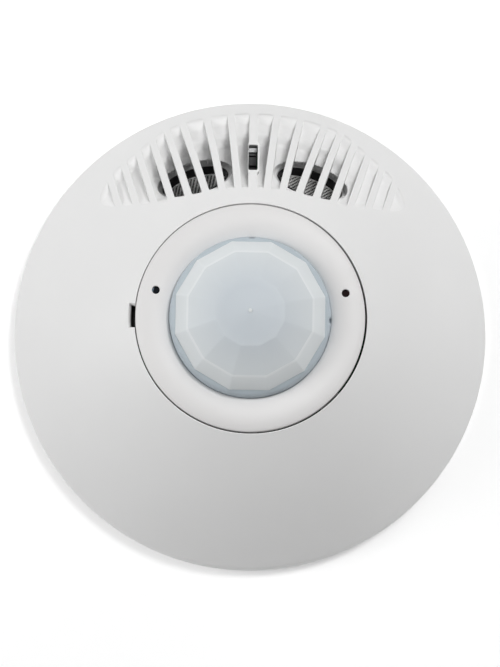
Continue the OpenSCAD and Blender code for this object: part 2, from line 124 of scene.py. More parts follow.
# The dome's flank is an arc from the rim wall to the opening
_run, _rise = DOME_R - OPENING_R, SHOULDER_Z - RIM_Z
_chord = math.hypot(_run, _rise)
_height = math.sqrt(FLANK_R ** 2 - (_chord / 2) ** 2)
FLANK_CR = (DOME_R + OPENING_R) / 2 - _height * _rise / _chord
FLANK_CZ = (RIM_Z + SHOULDER_Z) / 2 - _height * _run / _chord


def flank_z(r, t=0.0):
    return FLANK_CZ + np.sqrt((FLANK_R - t) ** 2 - (r - FLANK_CR) ** 2)


def flank_normal(xy):
    r = np.hypot(xy[:, 0], xy[:, 1])
    out = (r - FLANK_CR) / FLANK_R
    up = (flank_z(r) - FLANK_CZ) / FLANK_R
    return np.column_stack([xy[:, 0] / r * out, xy[:, 1] / r * out, up])


def smooth_max(a, b, width):
    """The larger of a and b, with the crease between them rounded over width."""
    h = np.clip(0.5 + 0.5 * (a - b) / width, 0, 1)
    return b + (a - b) * h + width * h * (1 - h)


def smooth_step(x, low, high):
    t = np.clip((x - low) / (high - low), 0, 1)
    return t * t * (3 - 2 * t)


# ---------------------------------------------------------------- grille pocket, in plan
def tip_end(x):
    """How far along the rounded end of a tip x is: 1 before it, falling to 0 at the very end."""
    start = TIP_X - TIP_ROUND
    t = np.clip((np.abs(x) - start) / (TIP_X - start), 0, 1)
    return np.sqrt(1 - t * t)


def pocket_low(x):
    low = np.maximum(INNER_EDGE_Y, INNER_ARC_Y + np.sqrt(INNER_ARC_R ** 2 - x ** 2))
    return TIP_Y - (TIP_Y - low) * tip_end(x)


def pocket_high(x):
    high = np.minimum(np.sqrt(OUTER_ARC_R ** 2 - x ** 2), TIP_TOP - TIP_SLOPE * np.abs(x))
    return TIP_Y + (high - TIP_Y) * tip_end(x)


def transducer_axes(side):
    """Mouth centre, outward axis and two directions across the mouth."""
    m = np.array([side * MOUTH_R * math.sin(MOUTH_TURN), MOUTH_R * math.cos(MOUTH_TURN), MOUTH_Z])
    flat = np.array([side * math.sin(CAN_SPLAY), math.cos(CAN_SPLAY), 0])
    axis = flat * math.sin(CAN_TILT) + np.array([0, 0, math.cos(CAN_TILT)])
    across = np.array([flat[1], -flat[0], 0])
    return m, axis, across, np.cross(axis, across)


def floor_depth(xy):
    """How far the pocket's floor lies below the dome between the mouths: a shallow shelf along
    the outer arc, a drop to the deepest line, then a face that climbs back to the inner edge."""
    x, y = xy[:, 0], xy[:, 1]
    from_arc = OUTER_ARC_R - np.hypot(x, y)
    tip_y = TIP_Y + (TIP_TOP - TIP_SLOPE * np.abs(x) - TIP_Y) * tip_end(x)
    d = np.minimum(from_arc, (tip_y - y) / math.hypot(1, TIP_SLOPE))
    shelf = 1.8 * smooth_step(d, 0.1, 3.4) + 0.1 * np.clip(d - 0.1, 0, 8)
    drop = 3.0 * smooth_step(d, 5.2, 9.2) * (1 - smooth_step(np.abs(x), 19, 29))
    t = y - pocket_low(x)
    climb = 0.25 * smooth_step(t, -0.3, 1.5) + 0.75 * np.clip(t / 9.5, 0, 1)
    return (shelf + drop) * climb


def floor_z(xy):
    """Height of the pocket's floor. Round each mouth it sinks to the transducer's plane."""
    x, y = xy[:, 0], xy[:, 1]
    surface = flank_z(np.hypot(x, y))
    z = surface - floor_depth(xy)
    for side in (-1, 1):
        m, axis, across, along = transducer_axes(side)
        plane = m[2] - ((x - m[0]) * axis[0] + (y - m[1]) * axis[1]) / axis[2]
        d = np.column_stack([x, y, plane]) - m
        off = np.hypot(d @ across, d @ along)
        plane = smooth_max(plane, VALLEY_Z, 1.0)
        z = z + (plane - z) * (1 - smooth_step(off, CAN_R + 0.65, CAN_R + 1.35))
    return -smooth_max(-z, 0.01 - surface, 0.5)


def floor_normal(xy):
    h = 0.05
    dx = (floor_z(xy + [h, 0]) - floor_z(xy - [h, 0])) / (2 * h)
    dy = (floor_z(xy + [0, h]) - floor_z(xy - [0, h])) / (2 * h)
    n = np.column_stack([-dx, -dy, np.ones(len(xy))])
    return n / np.linalg.norm(n, axis=1)[:, None]


def resample(loop, step):
    """A closed plan loop with evenly spaced points."""
    loop = np.asarray(loop)
    ring = np.vstack([loop, loop[:1]])
    run = np.concatenate([[0], np.cumsum(np.hypot(*np.diff(ring, axis=0).T))])
    count = max(12, int(round(run[-1] / step)))
    at = np.linspace(0, run[-1], count, endpoint=False)
    return np.column_stack([np.interp(at, run, ring[:, i]) for i in (0, 1)])


def soften(loop, passes):
    """Rounds a closed loop's corners by averaging each point with its neighbours."""
    for _ in range(passes):
        loop = (np.roll(loop, 1, 0) + 2 * loop + np.roll(loop, -1, 0)) / 4
    return loop


def clip(loop, point, normal):
    """The part of a plan polygon on the side of a line that its normal points to."""
    kept = []
    side = (loop - point) @ normal
    for i in range(len(loop)):
        a, b, sa, sb = loop[i - 1], loop[i], side[i - 1], side[i]
        if (sa >= 0) != (sb >= 0):
            kept.append(a + (b - a) * sa / (sa - sb))
        if sb >= 0:
            kept.append(b)
    return np.array(kept)


def outward(loop):
    """Unit normals of a closed plan loop, pointing out of it."""
    t = np.roll(loop, -1, 0) - np.roll(loop, 1, 0)
    n = np.column_stack([t[:, 1], -t[:, 0]])
    n /= np.linalg.norm(n, axis=1)[:, None]
    nxt = np.roll(loop, -1, 0)
    area = np.sum(loop[:, 0] * nxt[:, 1] - nxt[:, 0] * loop[:, 1])
    return n if area > 0 else -n


def inside(points, loop):
    """Which plan points lie inside a closed loop."""
    x, y = points[:, 0], points[:, 1]
    hit = np.zeros(len(points), bool)
    for (x0, y0), (x1, y1) in zip(loop, np.roll(loop, -1, 0)):
        if y0 == y1:
            continue
        cross = (y0 > y) != (y1 > y)
        hit ^= cross & (x < x0 + (y - y0) * (x1 - x0) / (y1 - y0))
    return hit


def pocket_outline(grow=0.0, step=0.4):
    x = TIP_X * np.sin(np.linspace(-math.pi / 2, math.pi / 2, 200))
    low = np.column_stack([x, pocket_low(x)])
    high = np.column_stack([x[::-1], pocket_high(x[::-1])])
    loop = resample(np.vstack([low, high[1:-1]]), step)
    return loop + outward(loop) * grow


def fin_place(k):
    m = min(abs(k), FANS)
    x = m * (FIN_STEP + FIN_SPREAD * m) + max(abs(k) - FANS, 0) * FIN_PITCH
    return np.sign(k) * x, np.sign(k) * FIN_LEAN * m / FANS


def fin_edge(k, side):
    """A point on one edge of fin k, and the direction from the edge away from the fin."""
    x, lean = fin_place(k)
    across = np.array([math.cos(lean), -math.sin(lean)])
    half = (MID_FIN_W if k == 0 else FIN_W) / 2
    return np.array([x, FIN_BASE_Y]) + side * half * across, side * across


def gap_loops():
    """The openings between the fins, in plan."""
    whole = pocket_outline(step=0.2)
    loops = []
    for k in range(-SIDE_FINS - 1, SIDE_FINS + 1):
        loop = whole
        if k >= -SIDE_FINS:
            loop = clip(loop, *fin_edge(k, 1))
        if k < SIDE_FINS:
            loop = clip(loop, *fin_edge(k + 1, -1))
        loop = soften(resample(loop, 0.25), 2)
        half_l = WINDOW_L / 2 + WINDOW_WALL
        frame_x = WINDOW_W / 2 + np.where(loop[:, 0] < 0, WINDOW_THIN_WALL, WINDOW_WALL)
        near = np.abs(loop[:, 0]) < frame_x
        held = near & (np.abs(loop[:, 1] - WINDOW_Y) < half_l)
        loop[held, 0] = (np.sign(loop[:, 0]) * frame_x)[held]
        loops.append(soften(loop, 1))
    return loops


# ---------------------------------------------------------------- mesh building
def add_object(name, data):
    obj = bpy.data.objects.new(name, data)
    bpy.context.scene.collection.objects.link(obj)
    return obj


class Shell:
    """Vertices in millimetres and the faces between them, made into one closed mesh."""

    def __init__(self):
        self.points, self.normals, self.faces = [], [], []

    def add(self, points, normals=None):
        start = len(self.points)
        points = np.asarray(points, float)
        self.points += points.tolist()
        self.normals += [None] * len(points) if normals is None else np.asarray(normals).tolist()
        return list(range(start, start + len(points)))

    def strip(self, a, b):
        for i in range(len(a)):
            j = (i + 1) % len(a)
            self.faces.append((a[i], a[j], b[j], b[i]))

    def strips(self, rings):
        for a, b in zip(rings, rings[1:]):
            self.strip(a, b)

    def cap(self, ring, point):
        tip = self.add([point])[0]
        for i, a in enumerate(ring):
            self.faces.append((a, ring[(i + 1) % len(ring)], tip))

    def triangles(self, index, tris):
        self.faces += [tuple(index[i] for i in t) for t in tris]

    def build(self, name, body, material, slot, replaces=(), smooth=True):
        mesh = bpy.data.meshes.new(name)
        mesh.from_pydata([[c * MM for c in p] for p in self.points], [], self.faces)
        bm = bmesh.new()
        bm.from_mesh(mesh)
        bmesh.ops.recalc_face_normals(bm, faces=bm.faces)
        bm.to_mesh(mesh)
        bm.free()
        mesh.validate()
        if smooth:
            mesh.polygons.foreach_set("use_smooth", [True] * len(mesh.polygons))
            if any(n is not None for n in self.normals):
                own = [v.vector for v in mesh.vertex_normals]
                given = [own[i] if n is None else Vector(n).normalized()
                         for i, n in enumerate(self.normals)]
                mesh.normals_split_custom_set_from_vertices(given)
        mesh.materials.append(material)
        obj = add_object(name, mesh)
        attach(obj, body)
        if replaces:
            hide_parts(*replaces)


def fill(outer, holes, extra):
    """Triangles over a plan region. Returns its points, in the order given, and the triangles."""
    points, edges = [], []
    for loop in [outer, *holes]:
        start, n = len(points), len(loop)
        points += [tuple(p) for p in loop]
        edges += [(start + i, start + (i + 1) % n) for i in range(n)]
    fixed = len(points)
    if len(extra):
        extra = np.asarray(extra)
        keep = inside(extra, outer)
        for hole in holes:
            keep &= ~inside(extra, hole)
        extra = extra[keep]
        ring = np.array(points[:fixed])
        far = np.array([np.min(np.hypot(*(ring - p).T)) > 0.3 for p in extra], bool)
        points += [tuple(p) for p in extra[far]]
    made = delaunay_2d_cdt([Vector(p) for p in points], edges, [], 0, 1e-7)
    first = [o[0] if o else -1 for o in made[3]]
    tris = np.array([[first[i] for i in f] for f in made[2]])
    tris = tris[(tris >= 0).all(1)]
    points = np.array(points)
    middle = points[tris].mean(1)
    keep = inside(middle, outer)
    for hole in holes:
        keep &= ~inside(middle, hole)
    return points, tris[keep].tolist()


def around(count):
    """Angles evenly spaced round a circle."""
    return np.linspace(0, TAU, count, endpoint=False)


def circle(r, angles):
    return np.column_stack([r * np.cos(angles), r * np.sin(angles)])


def lift(xy, z):
    return np.column_stack([xy, np.broadcast_to(z, len(xy))])


def revolve(shell, profile, angles, origin=(0, 0, 0), basis=None, closed=False):
    """Rings of a turned profile of (radius, height) points. The basis is three axes."""
    basis = np.eye(3) if basis is None else np.array(basis)
    rings = []
    for r, h in profile:
        local = np.column_stack([circle(r, angles), np.full(len(angles), h)])
        rings.append(shell.add(np.array(origin) + local @ basis))
    shell.strips(rings + rings[:1] if closed else rings)
    return rings


def round_corners(profile, radius, steps=3):
    """A closed profile with each corner replaced by a short curve."""
    profile = np.array(profile, float)
    out = []
    for i, p in enumerate(profile):
        a, b = profile[i - 1] - p, profile[(i + 1) % len(profile)] - p
        la, lb = np.linalg.norm(a), np.linalg.norm(b)
        cut = min(radius, la * 0.45, lb * 0.45)
        start, end = p + a / la * cut, p + b / lb * cut
        for t in np.linspace(0, 1, steps + 1):
            out.append((1 - t) ** 2 * start + 2 * t * (1 - t) * p + t * t * end)
    return out


# ---------------------------------------------------------------- materials
def tree_parts(m):
    """A material's nodes, its links and its main shader."""
    return m.node_tree.nodes, m.node_tree.links, m.node_tree.nodes["Principled BSDF"]


def node_material(name):
    m = bpy.data.materials.new(name)
    m.use_nodes = True
    return m, *tree_parts(m)


def set_inputs(node, values):
    for socket, value in values.items():
        node.inputs[socket].default_value = value


def noise(nodes, links, scale, detail=2.0, roughness=0.5):
    where = nodes.new("ShaderNodeTexCoord")
    n = nodes.new("ShaderNodeTexNoise")
    set_inputs(n, {"Scale": scale, "Detail": detail, "Roughness": roughness})
    links.new(where.outputs["Object"], n.inputs["Vector"])
    return n.outputs["Fac"]


def ranged(nodes, links, value, low, high, start=0.3, end=0.7):
    m = nodes.new("ShaderNodeMapRange")
    set_inputs(m, {"From Min": start, "From Max": end, "To Min": low, "To Max": high})
    links.new(value, m.inputs["Value"])
    return m.outputs["Result"]


def mixed(nodes, links, fac, a, b):
    m = nodes.new("ShaderNodeMix")
    m.data_type = "RGBA"
    links.new(fac, m.inputs["Factor"])
    for socket, colour in (("A", a), ("B", b)):
        target = [s for s in m.inputs if s.name == socket and s.type == "RGBA"][0]
        if isinstance(colour, bpy.types.NodeSocket):
            links.new(colour, target)
        else:
            target.default_value = (*colour, 1)
    return [s for s in m.outputs if s.type == "RGBA"][0]


def bumped(nodes, links, shader, height, strength, distance):
    b = nodes.new("ShaderNodeBump")
    set_inputs(b, {"Strength": strength, "Distance": distance})
    links.new(height, b.inputs["Height"])
    links.new(b.outputs["Normal"], shader.inputs["Normal"])


def plastic(name, colour, rough, grain=5200, depth=0.00004, tint=0.02, uneven=0.06):
    """Moulded plastic: a fine spark-eroded grain, slow colour drift and uneven gloss."""
    m, nodes, links, shader = node_material(name)
    drift = ranged(nodes, links, noise(nodes, links, 38, 3), 0, 1)
    darker = [c * (1 - tint) for c in colour]
    links.new(mixed(nodes, links, drift, darker, colour), shader.inputs["Base Color"])
    gloss = ranged(nodes, links, noise(nodes, links, 240, 4), rough - uneven, rough + uneven)
    links.new(gloss, shader.inputs["Roughness"])
    bumped(nodes, links, shader, noise(nodes, links, grain, 3, 0.6), 0.35, depth)
    return m


def plastic_with_painted_notch_shade(name, colour, rough):
    """The dome's plastic, with painted shade: the bottom of the pry notch is coloured near-black."""
    m = plastic(name, colour, rough)
    nodes, links, shader = tree_parts(m)
    where = nodes.new("ShaderNodeTexCoord")
    split = nodes.new("ShaderNodeSeparateXYZ")
    links.new(where.outputs["Object"], split.inputs["Vector"])
    depth = ranged(nodes, links, split.outputs["Z"], 1, 0, 26.8 * MM, 28.8 * MM)
    painted_notch_shade = depth
    for axis, middle, half in (("X", -OPENING_R - NOTCH_DEPTH / 2, NOTCH_DEPTH / 2 + 0.1),
                               ("Y", 0, NOTCH_WIDTH / 2 + 0.1)):
        within = nodes.new("ShaderNodeMath")
        within.operation = "COMPARE"
        within.inputs[1].default_value = middle * MM
        within.inputs[2].default_value = half * MM
        links.new(split.outputs[axis], within.inputs[0])
        both = nodes.new("ShaderNodeMath")
        both.operation = "MULTIPLY"
        links.new(painted_notch_shade, both.inputs[0])
        links.new(within.outputs["Value"], both.inputs[1])
        painted_notch_shade = both.outputs["Value"]
    # Painted shade: the notch's bottom takes a near-black colour.
    white = shader.inputs["Base Color"].links[0].from_socket
    links.new(mixed(nodes, links, painted_notch_shade, white, (0.003, 0.003, 0.003)), shader.inputs["Base Color"])
    return m


def milky(name, centre, edge):
    """Cloudy moulded polythene: light spreads inside it, and it is coloured paler away from the middle as
    painted light.
    """
    m = plastic(name, edge, 0.5, grain=2600, depth=0.00001, uneven=0.015)
    nodes, links, shader = tree_parts(m)
    share = ranged(nodes, links, from_axis(nodes, links), 0, 1, 0.006, 0.0165)
    haze = ranged(nodes, links, noise(nodes, links, 160, 3), 0, 1)
    rim = mixed(nodes, links, haze, [c * 0.99 for c in edge], edge)
    links.new(mixed(nodes, links, share, centre, rim), shader.inputs["Base Color"])
    set_inputs(shader, {"Specular IOR Level": 0.3, "Subsurface Weight": 0.25,
                        "Subsurface Radius": (0.002, 0.002, 0.0022), "Subsurface Scale": 1.0})
    return m


def metal(name, colour, rough, grain=1800, metallic=1.0):
    """Plated or brushed metal with fine scratches."""
    m, nodes, links, shader = node_material(name)
    shader.inputs["Metallic"].default_value = metallic
    stain = ranged(nodes, links, noise(nodes, links, 260, 4), 0, 1)
    dull = [c * 0.8 for c in colour]
    links.new(mixed(nodes, links, stain, dull, colour), shader.inputs["Base Color"])
    gloss = ranged(nodes, links, noise(nodes, links, grain, 5), rough - 0.08, rough + 0.12)
    links.new(gloss, shader.inputs["Roughness"])
    bumped(nodes, links, shader, noise(nodes, links, grain, 4), 0.2, 0.00003)
    return m


def circuit_board(name):
    """Green solder resist over copper: tracks show as paler raised lines."""
    m, nodes, links, shader = node_material(name)
    where = nodes.new("ShaderNodeTexCoord")
    lines = []
    for direction, scale in (("X", 520), ("Y", 430)):
        wave = nodes.new("ShaderNodeTexWave")
        wave.wave_type = "BANDS"
        wave.bands_direction = direction
        set_inputs(wave, {"Scale": scale, "Distortion": 0.0})
        links.new(where.outputs["Object"], wave.inputs["Vector"])
        lines.append(ranged(nodes, links, wave.outputs["Fac"], 0, 1, 0.72, 0.8))
    patch = nodes.new("ShaderNodeTexVoronoi")
    patch.inputs["Scale"].default_value = 260
    patch.feature = "F1"
    patch.distance = "CHEBYCHEV"
    links.new(where.outputs["Object"], patch.inputs["Vector"])
    choose = nodes.new("ShaderNodeSeparateColor")
    links.new(patch.outputs["Color"], choose.inputs["Color"])
    way = ranged(nodes, links, choose.outputs["Red"], 0, 1, 0.49, 0.51)
    track = nodes.new("ShaderNodeMix")
    links.new(way, track.inputs["Factor"])
    links.new(lines[0], track.inputs["A"])
    links.new(lines[1], track.inputs["B"])
    height = track.outputs["Result"]
    base = mixed(nodes, links, height, (0.008, 0.075, 0.03), (0.02, 0.16, 0.06))
    speck = ranged(nodes, links, noise(nodes, links, 900, 3), 0, 1, 0.45, 0.6)
    links.new(mixed(nodes, links, speck, base, (0.012, 0.1, 0.04)), shader.inputs["Base Color"])
    gloss = ranged(nodes, links, noise(nodes, links, 500, 3), 0.22, 0.36)
    links.new(gloss, shader.inputs["Roughness"])
    bumped(nodes, links, shader, height, 0.5, 0.00005)
    return m


def from_axis(nodes, links):
    """Distance of a point from the sensor's own axis."""
    where = nodes.new("ShaderNodeTexCoord")
    flat = nodes.new("ShaderNodeVectorMath")
    flat.operation = "MULTIPLY"
    flat.inputs[1].default_value = (1, 1, 0)
    links.new(where.outputs["Object"], flat.inputs[0])
    reach = nodes.new("ShaderNodeVectorMath")
    reach.operation = "LENGTH"
    links.new(flat.outputs["Vector"], reach.inputs[0])
    return reach.outputs["Value"]


def indicator(name, colour, outer):
    """Dark tinted lens of an indicator, coloured paler on its outer side as painted light."""
    m = plastic(name, outer, 0.6, grain=2000, tint=0.1)
    nodes, links, shader = tree_parts(m)
    start = (LED_R + 0.45) * MM
    share = ranged(nodes, links, from_axis(nodes, links), 0, 1, start, start + 0.35 * MM)
    # Painted light: the outer side takes the paler colour.
    links.new(mixed(nodes, links, share, colour, outer), shader.inputs["Base Color"])
    shader.inputs["Specular IOR Level"].default_value = 0.1
    return m


MATERIALS = {
    "plate_white": plastic("plate_white", (0.78, 0.78, 0.765), 0.5),
    "housing_white": plastic("housing_white", (0.79, 0.79, 0.775), 0.5),
    "dome_white": plastic_with_painted_notch_shade("dome_white", (0.87, 0.87, 0.867), 0.55),
    "cover_white": plastic("cover_white", (0.835, 0.826, 0.822), 0.5),
    "baffle_white": plastic("baffle_white", (0.91, 0.91, 0.907), 0.55, depth=0.00002),
    "retainer_white": plastic("retainer_white", (0.78, 0.78, 0.765), 0.45),
    "nylon_grey": plastic("nylon_grey", (0.10, 0.10, 0.11), 0.42, tint=0.1),
    "relay_black": plastic("relay_black", (0.022, 0.022, 0.024), 0.35, grain=3000, tint=0.15),
    "capacitor_sleeve": plastic("capacitor_sleeve", (0.015, 0.02, 0.07), 0.25, grain=900, tint=0.2),
    "copper_winding": metal("copper_winding", (0.60, 0.26, 0.09), 0.32),
    "terminal_green": plastic("terminal_green", (0.03, 0.22, 0.09), 0.38, tint=0.12),
    "chip_black": plastic("chip_black", (0.024, 0.024, 0.026), 0.55, grain=7000, tint=0.15),
    "steel": metal("steel", (0.62, 0.62, 0.60), 0.3),
    "pir_metal": metal("pir_metal", (0.70, 0.69, 0.66), 0.26),
    "pir_silicon": plastic("pir_silicon", (0.03, 0.022, 0.032), 0.12, tint=0.3),
    "boot_rubber": plastic("boot_rubber", (0.008, 0.008, 0.009), 0.5, grain=3500, tint=0.2),
    "can_black": plastic("can_black", (0.007, 0.007, 0.008), 0.45, tint=0.2),
    "mesh_wire": metal("mesh_wire", (1.0, 1.0, 0.99), 0.5, metallic=0.0),
    # Painted shade: the metal cone is coloured near-black for the shade deep inside the can.
    "cone_grey": metal("cone_grey", (0.02, 0.02, 0.02), 0.5, metallic=0.5),
    "pin_gold": metal("pin_gold", (0.70, 0.54, 0.24), 0.25),
    "sensor_black": plastic("sensor_black", (0.02, 0.02, 0.022), 0.35, tint=0.2),
    "sensor_clear": plastic("sensor_clear", (0.75, 0.76, 0.77), 0.2, tint=0.1),
    "led_blue": indicator("led_blue", (0.004, 0.006, 0.009), (0.22, 0.30, 0.38)),
    "led_red": indicator("led_red", (0.010, 0.003, 0.003), (0.03, 0.006, 0.005)),
    "trimmer_blue": plastic("trimmer_blue", (0.02, 0.11, 0.40), 0.35, tint=0.12),
    "rotor_white": plastic("rotor_white", (0.72, 0.70, 0.64), 0.4, tint=0.05),
    "switch_red": plastic("switch_red", (0.46, 0.02, 0.02), 0.35, tint=0.12),
    "lever_white": plastic("lever_white", (0.76, 0.76, 0.72), 0.4, tint=0.05),
    "board_green": circuit_board("board_green"),
    # Painted light: the lens plastic is coloured paler towards its edge.
    "lens_milky": milky("lens_milky", (0.62, 0.67, 0.715), (0.76, 0.80, 0.82)),
    # Painted shade: a darker copy of the lens plastic, for the skirt below the facets.
    "lens_brow_painted_shade": milky("lens_brow_painted_shade", (0.53, 0.60, 0.65), (0.53, 0.60, 0.65)),
    # Painted light: a paler copy of the lens plastic, for the outer band of facets.
    "lens_rim_painted_light": milky("lens_rim_painted_light", (0.80, 0.84, 0.86), (0.80, 0.84, 0.86)),
    # Painted highlight: a paler copy of the lens plastic, for the ridges and the gate.
    "lens_ridge_painted_highlight": milky("lens_ridge_painted_highlight", (0.84, 0.875, 0.895), (0.84, 0.875, 0.895)),
}


# ---------------------------------------------------------------- dome cover
def columns(extra=()):
    """Angles of the columns of a turned piece, with extra ones where something is cut."""
    even = around(288)
    for e in extra:
        even = even[np.abs(even - e) > 0.004]
    return np.sort(np.concatenate([even, extra]))


def edge_round(loop, out):
    """Rounding of the dome's edge round an opening: crisp along the fins, soft at their ends."""
    at_ends = smooth_step(np.abs(out[:, 1]), 0.45, 0.95)
    e = 0.15 + 0.55 * at_ends
    half_l = WINDOW_L / 2 + WINDOW_WALL + 0.3
    e[(np.abs(loop[:, 0]) < 1.9) & (np.abs(loop[:, 1] - WINDOW_Y) < half_l)] = 0.1
    return e


def rim_profile():
    lean = math.asin((DOME_R - FLANK_CR) / FLANK_R)
    tangent = RIM_ROUND * math.tan((math.pi / 2 - lean) / 2)
    start_r = DOME_R - tangent * math.cos(lean)
    arc = []
    for a in np.linspace(math.pi / 2 - lean, 0, 9):
        arc.append((DOME_R - RIM_ROUND * (1 - math.cos(a)), RIM_Z - tangent + RIM_ROUND * math.sin(a)))
    inner_r = DOME_R - WALL
    bottom = [(DOME_R, RIM_GAP + 0.35), (DOME_R - 0.12, RIM_GAP + 0.1), (DOME_R - 0.4, RIM_GAP),
              (inner_r + 0.3, RIM_GAP), (inner_r, RIM_GAP + 0.3), (inner_r, flank_z(inner_r, WALL) - 0.1)]
    return [(r, flank_z(r)) for r in np.linspace(start_r - 1.2, start_r, 3)[:-1]] + arc + bottom


def window_loop():
    """The daylight sensor's window, in plan."""
    corners = [(s * WINDOW_W / 2, WINDOW_Y + t * WINDOW_L / 2) for s, t in CORNERS]
    return soften(resample(corners, 0.25), 2)


def opening_rings():
    """For each gap and the window: its loop, the way out of it, the width and drop of its
    rounded edge, and the height of the floor below it."""
    window = window_loop()
    rings = []
    for loop in gap_loops() + [window]:
        out = outward(loop)
        e = np.full(len(loop), 0.1) if loop is window else edge_round(loop, out)
        floor = np.full(len(loop), WINDOW_FLOOR_Z) if loop is window else floor_z(loop)
        depth = np.maximum(flank_z(np.hypot(*loop.T)) - floor, 0)
        rings.append((loop, out, e, np.minimum(e * 1.15, depth * 0.45), floor))
    return rings


def add_gap_wall(shell, ring, top_ring, bottom_ring):
    """The wall of one gap or window, from its rounded edge down to the fins' underside."""
    loop, out, e, drop, floor = ring
    chain = [top_ring]
    for a in (0.35, 0.75, 1.15, math.pi / 2):
        xy = loop + out * (e * (1 - math.sin(a)))[:, None]
        z = flank_z(np.hypot(*xy.T)) - drop * (1 - math.cos(a))
        share = np.clip(drop / e, 0, 1)[:, None]
        normal = math.cos(a) * flank_normal(xy)
        normal += share * math.sin(a) * np.column_stack([-out, 0 * e])
        normal += (1 - share) * flank_normal(xy)
        chain.append(shell.add(lift(xy, z), normal / np.linalg.norm(normal, axis=1)[:, None]))
    wall_top = np.array([shell.points[i][2] for i in chain[-1]])
    base = np.maximum(floor - 0.4, flank_z(np.hypot(*loop.T)) - FIN_DEPTH)
    chain.append(shell.add(lift(loop, np.minimum(base, wall_top - 0.02))))
    chain.append(bottom_ring)
    shell.strips(chain)


def add_opening_wall(shell, angles, in_notch, top_ring, bottom_ring):
    """The wall of the centre opening, its collar, and the notch cut into them on the left."""
    floor_drop = {NOTCH_R: 0.9, NOTCH_R - 0.5: 3.6}
    profile = [(NOTCH_R + 0.04, 0), (NOTCH_R, 0), (NOTCH_R - 0.5, 0), (NOTCH_R - 0.6, 0)]
    profile += [(OPENING_R + OPENING_LIP * (1 - math.sin(a)), OPENING_LIP * (1 - math.cos(a)))
                for a in (0,) + EDGE_ANGLES]
    chain = [top_ring]
    for r, drop in profile:
        z = np.full(len(angles), flank_z(r) - drop)
        if r < NOTCH_R + 0.01:
            z[in_notch] = np.minimum(z[in_notch], SHOULDER_Z - floor_drop.get(r, NOTCH_DROP))
        shift = OPENING_SHIFT if r < NOTCH_R - 0.7 else 0
        chain.append(shell.add(lift(circle(r, angles) + shift, z)))
    collar = [(OPENING_R, SHOULDER_Z - NOTCH_DROP - 0.3), (OPENING_R, COLLAR_Z + 0.3),
              (OPENING_R + 0.3, COLLAR_Z), (COLLAR_R - 0.3, COLLAR_Z), (COLLAR_R, COLLAR_Z + 0.3),
              (COLLAR_R, flank_z(COLLAR_R, WALL) - 0.1)]
    for r, z in collar:
        shift = OPENING_SHIFT if r < COLLAR_R - 0.5 else 0
        chain.append(shell.add(lift(circle(r, angles) + shift, z)))
    shell.strips(chain + [bottom_ring])


def make_dome():
    """The dome cover: a skin pierced by the gaps, with walls, a rim and the centre opening."""
    shell = Shell()
    edge = math.asin(NOTCH_WIDTH / 2 / (OPENING_R + NOTCH_DEPTH / 2))
    cut = [math.pi - edge - 0.002, math.pi - edge, math.pi + edge, math.pi + edge + 0.002]
    angles = columns(cut)
    in_notch = (angles > cut[0] + 0.001) & (angles < cut[3] - 0.001)
    r_in, r_out = OPENING_R + 1.5, DOME_R - WALL - 0.15
    rings = opening_rings()
    holes = [loop + out * e[:, None] for loop, out, e, _, _ in rings]
    extra = [circle(r, angles[::2] + (i % 2) * 0.01)
             for i, r in enumerate(np.arange(r_in + 1.3, r_out - 0.6, 1.4))]
    points, tris = fill(circle(r_out, angles), [circle(r_in, angles)] + holes, np.vstack(extra))
    radius = np.hypot(*points.T)
    top = shell.add(lift(points, flank_z(radius)), flank_normal(points))
    fin_bottom = np.maximum(floor_z(points) - 0.4, flank_z(radius) - FIN_DEPTH)
    under = np.where(inside(points, pocket_outline(0.6)), fin_bottom, flank_z(radius, WALL))
    bottom = shell.add(lift(points, under))
    shell.triangles(top, tris)
    shell.triangles(bottom, tris)

    n = len(angles)
    start = 2 * n
    for ring in rings:
        end = start + len(ring[0])
        add_gap_wall(shell, ring, top[start:end], bottom[start:end])
        start = end
    rim = [(r, z) for r, z in rim_profile() if r > r_out + 0.05 or z < 3]
    shell.strips([top[:n]] + [shell.add(lift(circle(r, angles), z)) for r, z in rim] + [bottom[:n]])
    add_opening_wall(shell, angles, in_notch, top[n:2 * n], bottom[n:2 * n])
    shell.build("dome_shell", "sensor", MATERIALS["dome_white"], "dome_white", ["dome_cover"])


